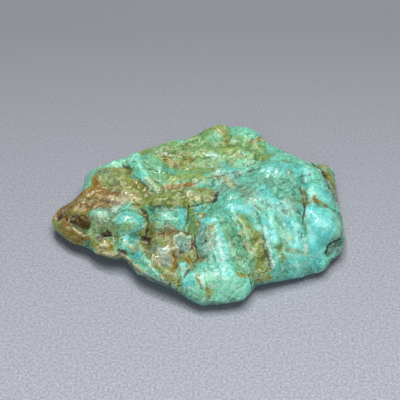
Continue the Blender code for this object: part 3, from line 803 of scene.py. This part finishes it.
def refined_mesh(node):
    """A copy of the node's mesh, welded and smoothly subdivided."""
    mesh = node.data.copy()
    carrier = bpy.data.objects.new("refining", mesh)
    bpy.context.scene.collection.objects.link(carrier)
    weld = carrier.modifiers.new("weld", "WELD")
    weld.merge_threshold = WELD_DISTANCE * MM
    refine = carrier.modifiers.new("refine", "SUBSURF")
    refine.levels = refine.render_levels = REFINE_LEVELS
    evaluated = carrier.evaluated_get(bpy.context.evaluated_depsgraph_get())
    fine = bpy.data.meshes.new_from_object(evaluated)
    bpy.data.objects.remove(carrier)
    bpy.data.meshes.remove(mesh)
    return fine


def read_vectors(mesh, name):
    values = np.empty(len(mesh.vertices) * 3)
    mesh.vertices.foreach_get(name, values)
    return values.reshape(-1, 3)


def write_points(mesh, points):
    mesh.vertices.foreach_set("co", (points * MM).ravel())
    mesh.update()


def write_share(mesh, name, values):
    layer = mesh.attributes.new(name, "FLOAT", "POINT")
    layer.data.foreach_set("value", values.astype(np.float32))


def neighbour_mean(values, ends):
    """Each point's neighbours' mean."""
    total = np.zeros_like(values)
    count = np.bincount(ends.ravel(), minlength=len(values)).astype(float)
    for a, b in (ends.T, ends.T[::-1]):
        for axis in range(values.shape[1]):
            total[:, axis] += np.bincount(a, weights=values[b, axis], minlength=len(values))
    return total / count[:, None]


def hollowness(mesh, rounds):
    """How far each point lies below the smoothed skin round it, in millimetres."""
    ends = np.empty(len(mesh.edges) * 2, int)
    mesh.edges.foreach_get("vertices", ends)
    ends = ends.reshape(-1, 2)
    points = read_vectors(mesh, "co") / MM
    smoothed = points
    for _ in range(rounds):
        smoothed = neighbour_mean(smoothed, ends)
    return ((smoothed - points) * read_vectors(mesh, "normal")).sum(axis=1)


def grain(points, lay):
    """Noise drawn out along one direction, as in layered rock."""
    along = np.array(lay.along) / np.linalg.norm(lay.along)
    part = (points @ along)[:, None] * along
    drawn_in = points - part * (1.0 - 1.0 / LAY_STRETCH)
    return waves(drawn_in, lay.size, LAY_OCTAVES, LAY_SHIFT)


def lattice_value(corner, seed):
    """A fixed random value from -1 to 1 for each corner of a cubic lattice."""
    wave = np.sin(corner @ np.array(LATTICE_WEIGHTS) + seed) * LATTICE_GAIN
    return (wave - np.floor(wave)) * 2.0 - 1.0


def facets(points, size, seed):
    """Relief of flat facets that meet in crisp edges, from -1 to 1."""
    cell = np.floor(points / size)
    part = points / size - cell
    order = np.argsort(-part, axis=1)
    part = np.take_along_axis(part, order, axis=1)
    weights = np.concatenate([part[:, :-1] - part[:, 1:], part[:, -1:]], axis=1)
    corner = cell.copy()
    total = lattice_value(corner, seed) * (1.0 - part[:, 0])
    rows = np.arange(len(points))
    for k in range(3):
        corner[rows, order[:, k]] += 1.0
        total += lattice_value(corner, seed) * weights[:, k]
    return total


def wandered(points, wander):
    """Points moved a little, so that what is drawn with them wanders."""
    shifts = [wander.shift + s for s in WANDER_SHIFTS]
    moves = [waves(points, wander.size, WANDER_OCTAVES, shift) for shift in shifts]
    return points + np.stack(moves, axis=1) * wander.amount


def roughness_at(points, photo):
    """How rough the skin is at each point: 0 where it is worn smooth, 1 where it is roughest."""
    rough = ROUGH_MEAN + ROUGH_SWING * waves(points, *ROUGH_WAVES)
    rough = np.maximum(rough, cover(points, photo, ROUGH, MARK_PIXEL))
    polished = cover(points, photo, POLISHED, MARK_PIXEL)
    return np.clip(rough, ROUGH_LEAST, 1.0) * (1.0 - POLISH_SMOOTHS * polished)


def facet_relief(points, rough):
    """The facets' relief in millimetres, lower where the skin is smooth."""
    push = np.zeros(len(points))
    for seed, level in enumerate(FACETS):
        bent = points
        for wander in level.wanders:
            bent = wandered(bent, wander)
        share = level.kept + (1.0 - level.kept) * rough
        push += facets(bent, level.size, seed) * level.height * share
    return push


def cracks_at(points, photo, cracks):
    """The cracks' amount at each point, with the places where they close up for a bit."""
    opened = smooth_step((waves(points, *CLOSING_WAVES) + CLOSING_LEVEL) / CLOSING_SOFTNESS)
    return cover(wandered(points, CRACK_WANDER), photo, cracks, PIXEL) * opened


def fine_relief(points, photo):
    """How far each point is pushed out along its normal, in millimetres."""
    rough = roughness_at(points, photo)
    push = facet_relief(points, rough)
    pits = smooth_step((waves(points, *PIT_WAVES) - PIT_LEVEL) / PIT_SOFTNESS)
    push -= pits * PIT_DEPTH * rough
    for lay in LAYS.values():
        share = nearness(points, photo.path(lay), lay.reach * MARK_PIXEL)
        push += share * lay.amount * grain(points, lay)
    drawn = wandered(points, RELIEF_WANDER)
    push += cover(drawn, photo, RIDGES, PIXEL)
    push -= cover(drawn, photo, GROOVES, PIXEL)
    push -= cracks_at(points, photo, CRACKS)
    return push


def write_markings(mesh, photo, points, normals):
    """Writes each point's share of every mineral and crack, and where fine markings show."""
    drawn = wandered(points, MARK_WANDER)
    away = smooth_step(normals @ np.array(photo.forward) / AWAY_FALLOFF)
    for order, (mineral, marks) in enumerate(MARKS.items()):
        share = cover(drawn, photo, marks, MARK_PIXEL)
        if mineral in HIDDEN:
            patch = HIDDEN[mineral]
            above = waves(points, patch.size, HIDDEN_OCTAVES, HIDDEN_SHIFT + order) - patch.level
            share = np.maximum(share, patch.amount * away * smooth_step(above / HIDDEN_SOFTNESS))
        write_share(mesh, mineral, share)
    shades = {n: s._replace(amount=min(1.0, s.amount / CRACK_FULL_DEPTH)) for n, s in CRACKS.items()}
    write_share(mesh, "crack", cracks_at(points, photo, shades))
    write_share(mesh, "rugged", 1.0 - POLISH_HIDES * cover(points, photo, POLISHED, MARK_PIXEL))


def build_stone(node):
    mesh = refined_mesh(node)
    photo = Photo(mesh)
    points = read_vectors(mesh, "co") / MM
    normals = read_vectors(mesh, "normal")
    push = fine_relief(points, photo) * smooth_step(points[:, 2] / FLAT_KEPT)
    carved = points + normals * push[:, None]
    carved[:, 2] = np.maximum(carved[:, 2], 0.0)
    write_markings(mesh, photo, points, normals)
    write_points(mesh, carved)
    for name, (rounds, full) in HOLLOWS.items():
        write_share(mesh, name, np.clip(hollowness(mesh, rounds) / full, -1.0, 1.0))

    mesh.shade_smooth()
    mesh.materials.clear()
    mesh.materials.append(turquoise_material())
    stone = bpy.data.objects.new("turquoise_stone_fine", mesh)
    bpy.context.scene.collection.objects.link(stone)
    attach(stone, "root")
    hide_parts(STONE)


class Nodes:
    """Short ways to add shader nodes."""

    def __init__(self, material):
        material.use_nodes = True
        self.tree = material.node_tree
        self.shader = self.tree.nodes["Principled BSDF"]

    def add(self, kind, links=(), **settings):
        node = self.tree.nodes.new(kind)
        for name, value in settings.items():
            setattr(node, name, value)
        for socket, value in dict(links).items():
            if isinstance(value, bpy.types.NodeSocket):
                self.tree.links.new(value, node.inputs[socket])
            else:
                node.inputs[socket].default_value = value
        return node

    def set_surface(self, socket, value):
        """Links a value to a socket of the surface's shader."""
        self.tree.links.new(value, self.shader.inputs[socket])

    def math(self, operation, *values, clamp=False):
        links = dict(enumerate(values))
        return self.add("ShaderNodeMath", links, operation=operation, use_clamp=clamp).outputs[0]

    def vector(self, operation, links):
        return self.add("ShaderNodeVectorMath", links, operation=operation).outputs[0]

    def share(self, name):
        return self.add("ShaderNodeAttribute", attribute_name=name).outputs["Fac"]

    def mix(self, factor, first, second, blend="MIX"):
        links = {MIX_FACTOR: factor, MIX_FIRST: first, MIX_SECOND: second}
        for index in (MIX_FIRST, MIX_SECOND):
            if isinstance(links[index], tuple):
                links[index] = (*links[index], 1.0)
        node = self.add("ShaderNodeMix", links, data_type="RGBA", blend_type=blend)
        return node.outputs[MIX_RESULT]

    def tint(self, share, colour, tint):
        """A colour that is multiplied by a tint as far as share says."""
        return self.mix(share, colour, self.mix(1.0, colour, linear(tint), "MULTIPLY"))

    def spread(self, value, low, high):
        """A value's range low to high as 0 to 1."""
        links = {"Value": value, "From Min": low, "From Max": high}
        return self.add("ShaderNodeMapRange", links, clamp=True).outputs[0]


def noise_channels(nodes, place, size, detail, shift):
    """Three noises of one wave size, each spread over 0 to 1."""
    moved = nodes.vector("ADD", {0: place, 1: (shift, shift, shift)})
    links = {"Vector": moved, "Scale": 1.0 / size, "Detail": detail, "Roughness": NOISE_ROUGHNESS}
    texture = nodes.add("ShaderNodeTexNoise", links)
    parts = nodes.add("ShaderNodeSeparateColor", {0: texture.outputs["Color"]})
    return [nodes.spread(part, *NOISE_RANGE) for part in parts.outputs]


def covering(nodes, share, noise_value, softness):
    """How much of a mineral shows: it spreads from the noise's peaks as its share grows."""
    lifted = nodes.math("MULTIPLY_ADD", share, (1.0 + softness) / softness, -1.0 / softness)
    return nodes.math("MULTIPLY_ADD", noise_value, 1.0 / softness, lifted, clamp=True)


def lightened(nodes, colour, white):
    """A brighter colour with a share of the light specks' colour in it."""
    brighter = nodes.mix(1.0, colour, linear(BRIGHT_TINT), "MULTIPLY")
    return nodes.mix(white, brighter, linear(LIGHT_SPECK))


def vein_lines(nodes, place):
    """Hairlines that part the stone into uneven patches."""
    links = {"Vector": place, "Scale": 1.0 / VEIN_BEND_SIZE, "Detail": VEIN_BEND_DETAIL}
    bend = nodes.add("ShaderNodeTexNoise", links).outputs["Color"]
    bend = nodes.vector("SCALE", {0: bend, "Scale": VEIN_BEND})
    links = {"Vector": nodes.vector("ADD", {0: place, 1: bend}), "Scale": 1.0 / VEIN_SPACING}
    edge = nodes.add("ShaderNodeTexVoronoi", links, feature="DISTANCE_TO_EDGE").outputs["Distance"]
    return nodes.spread(edge, VEIN_HALF_WIDTH / VEIN_SPACING, 0.0)


def mineral_colour(nodes, noises):
    colour = linear(BASE_COLOUR)
    for name, mineral in MINERALS.items():
        shown = covering(nodes, nodes.share(name), noises[mineral.noise], mineral.softness)
        colour = nodes.mix(shown, colour, linear(mineral.colour))
    return colour


def speckled(nodes, noises, colour):
    lighter = lightened(nodes, colour, LIGHT_SPECK_SHARE)
    dark_specks = nodes.spread(noises["speck_x"], *DARK_SPECK_RANGE)
    colour = nodes.tint(nodes.math("MULTIPLY", dark_specks, nodes.share("rugged")), colour, DARK_SPECK)
    colour = nodes.mix(nodes.spread(noises["speck_y"], *LIGHT_SPECK_RANGE), colour, lighter)
    return nodes.tint(nodes.spread(noises["middle_x"], *DULL_RANGE), colour, DULL_TINT)


def dirt_shade_and_highlights(nodes, in_hollow, colour):
    """The colour darkened in its hollows, partly dirt and partly painted shade, and lightened on its
    ridges as a painted highlight.
    """
    colour = nodes.tint(nodes.math("MULTIPLY", in_hollow, HOLLOW_SHARE), colour, HOLLOW_DIRT_AND_SHADE)
    # Raised ridges lightened: a painted highlight
    ridge_highlight = nodes.math("MULTIPLY", nodes.spread(nodes.share("hollow"), *RIDGE_HIGHLIGHT_RANGE), RIDGE_HIGHLIGHT_SHARE)
    colour = nodes.mix(ridge_highlight, colour, lightened(nodes, colour, RIDGE_HIGHLIGHT_WHITE))
    # Broad recesses darkened: partly dirt, partly painted shade
    in_deep = nodes.math("MULTIPLY", nodes.spread(nodes.share("deep"), *DEEP_RANGE), DEEP_SHARE)
    return nodes.tint(in_deep, colour, HOLLOW_DIRT_AND_SHADE)


def broken(nodes, noises, place, colour):
    """The colour with its hairlines, and its cracks darkened: partly dirt, partly painted shade."""
    shown = nodes.math("MULTIPLY", nodes.spread(noises["broad_y"], *VEIN_RANGE), nodes.share("rugged"))
    colour = nodes.tint(nodes.math("MULTIPLY", vein_lines(nodes, place), shown), colour, VEIN_TINT)
    # Cracks darkened: partly dirt, partly painted shade
    crack = covering(nodes, nodes.share("crack"), noises["speck_z"], CRACK_SOFTNESS)
    return nodes.mix(crack, colour, linear(CRACK_DIRT_AND_SHADE))


def turquoise_material():
    material = bpy.data.materials.new("waxy_turquoise")
    nodes = Nodes(material)
    metres = nodes.add("ShaderNodeTexCoord").outputs["Object"]
    place = nodes.vector("SCALE", {0: metres, "Scale": 1.0 / MM})
    noises = {}
    for name, settings in NOISES.items():
        for axis, channel in zip("xyz", noise_channels(nodes, place, *settings)):
            noises[f"{name}_{axis}"] = channel

    in_hollow = nodes.spread(nodes.share("hollow"), *HOLLOW_RANGE)
    colour = speckled(nodes, noises, mineral_colour(nodes, noises))
    colour = dirt_shade_and_highlights(nodes, in_hollow, colour)
    nodes.set_surface("Base Color", broken(nodes, noises, place, colour))

    rough = nodes.math("MULTIPLY_ADD", noises["middle_y"], ROUGHNESS_SPREAD, ROUGHNESS)
    rough = nodes.math("MULTIPLY_ADD", in_hollow, HOLLOW_ROUGHNESS, rough, clamp=True)
    nodes.set_surface("Roughness", rough)
    nodes.shader.inputs["Coat Weight"].default_value = COAT_WEIGHT
    nodes.shader.inputs["Coat Roughness"].default_value = COAT_ROUGHNESS
    nodes.shader.inputs["Specular IOR Level"].default_value = SPECULAR_LEVEL

    links = {"Vector": place, "Scale": 1.0 / GRAIN_SIZE, "Detail": GRAIN_DETAIL}
    grain_noise = nodes.add("ShaderNodeTexNoise", {**links, "Roughness": GRAIN_ROUGHNESS}).outputs[0]
    for socket, strength in GRAIN_STRENGTHS.items():
        links = {"Height": grain_noise, "Strength": strength, "Distance": GRAIN_DEPTH * MM}
        nodes.set_surface(socket, nodes.add("ShaderNodeBump", links).outputs[0])
    return material


def floor_material():
    material = bpy.data.materials.new("grey_card")
    nodes = Nodes(material)
    place = nodes.add("ShaderNodeTexCoord").outputs["Object"]
    links = {"Vector": place, "Scale": 1.0 / (FLOOR_GRAIN_SIZE * MM), "Detail": FLOOR_GRAIN_DETAIL}
    shade = nodes.spread(nodes.add("ShaderNodeTexNoise", links).outputs[0], *FLOOR_GRAIN_RANGE)
    # Darker towards the far side: a painted falloff of the light
    depth = nodes.add("ShaderNodeSeparateXYZ", {0: place}).outputs[1]
    far = nodes.spread(depth, FLOOR_NEAR * MM, FLOOR_FAR * MM)
    far_colour = linear([c * FLOOR_FAR_PAINTED_SHADE for c in FLOOR_COLOUR])
    light_grain = nodes.mix(far, linear([c * FLOOR_LIGHT_GRAIN for c in FLOOR_COLOUR]), far_colour)
    dark_grain = nodes.mix(far, linear([c * FLOOR_DARK_GRAIN for c in FLOOR_COLOUR]), far_colour)
    nodes.set_surface("Base Color", nodes.mix(shade, dark_grain, light_grain))
    nodes.shader.inputs["Roughness"].default_value = FLOOR_ROUGHNESS
    return material


def build_floor():
    half = FLOOR_SIZE * MM / 2
    mesh = bpy.data.meshes.new("floor")
    corners = [(-half, -half, 0.0), (half, -half, 0.0), (half, half, 0.0), (-half, half, 0.0)]
    mesh.from_pydata(corners, [], [(0, 1, 2, 3)])
    mesh.materials.append(floor_material())
    floor = bpy.data.objects.new("floor", mesh)
    bpy.context.scene.collection.objects.link(floor)


def aim(thing, target):
    direction = Vector(target) - thing.location
    thing.rotation_euler = direction.to_track_quat("-Z", "Y").to_euler()


def build_lights():
    for name, lamp in LAMPS.items():
        data = bpy.data.lights.new(name, "AREA")
        data.size = lamp.size * MM
        data.energy = lamp.power
        data.color = linear(lamp.colour)
        light = bpy.data.objects.new(name, data)
        light.location = Vector(lamp.place) * MM
        bpy.context.scene.collection.objects.link(light)
        aim(light, (0.0, 0.0, 0.0))
    world = bpy.data.worlds.new("studio")
    bpy.context.scene.world = world
    world.use_nodes = True
    background = world.node_tree.nodes["Background"]
    background.inputs["Color"].default_value = (*linear(WORLD_COLOUR), 1.0)
    background.inputs["Strength"].default_value = WORLD_STRENGTH


def build_camera():
    data = bpy.data.cameras.new("camera")
    data.lens = LENS
    data.sensor_width = SENSOR
    camera = bpy.data.objects.new("camera", data)
    back = Vector((0.0, -math.cos(CAMERA_ELEVATION), math.sin(CAMERA_ELEVATION)))
    camera.location = (CAMERA_TARGET + back * CAMERA_DISTANCE) * MM
    bpy.context.scene.collection.objects.link(camera)
    aim(camera, CAMERA_TARGET * MM)
    bpy.context.scene.camera = camera


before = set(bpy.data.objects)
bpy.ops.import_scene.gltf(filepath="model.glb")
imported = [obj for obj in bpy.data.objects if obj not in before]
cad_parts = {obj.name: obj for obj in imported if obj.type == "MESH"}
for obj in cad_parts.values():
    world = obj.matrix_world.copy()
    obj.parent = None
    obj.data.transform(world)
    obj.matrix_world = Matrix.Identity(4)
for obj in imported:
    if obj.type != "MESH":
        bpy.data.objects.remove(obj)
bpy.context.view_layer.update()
build_stone(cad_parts[STONE])
build_floor()
build_lights()
build_camera()
bpy.context.scene.view_settings.view_transform = "Standard"
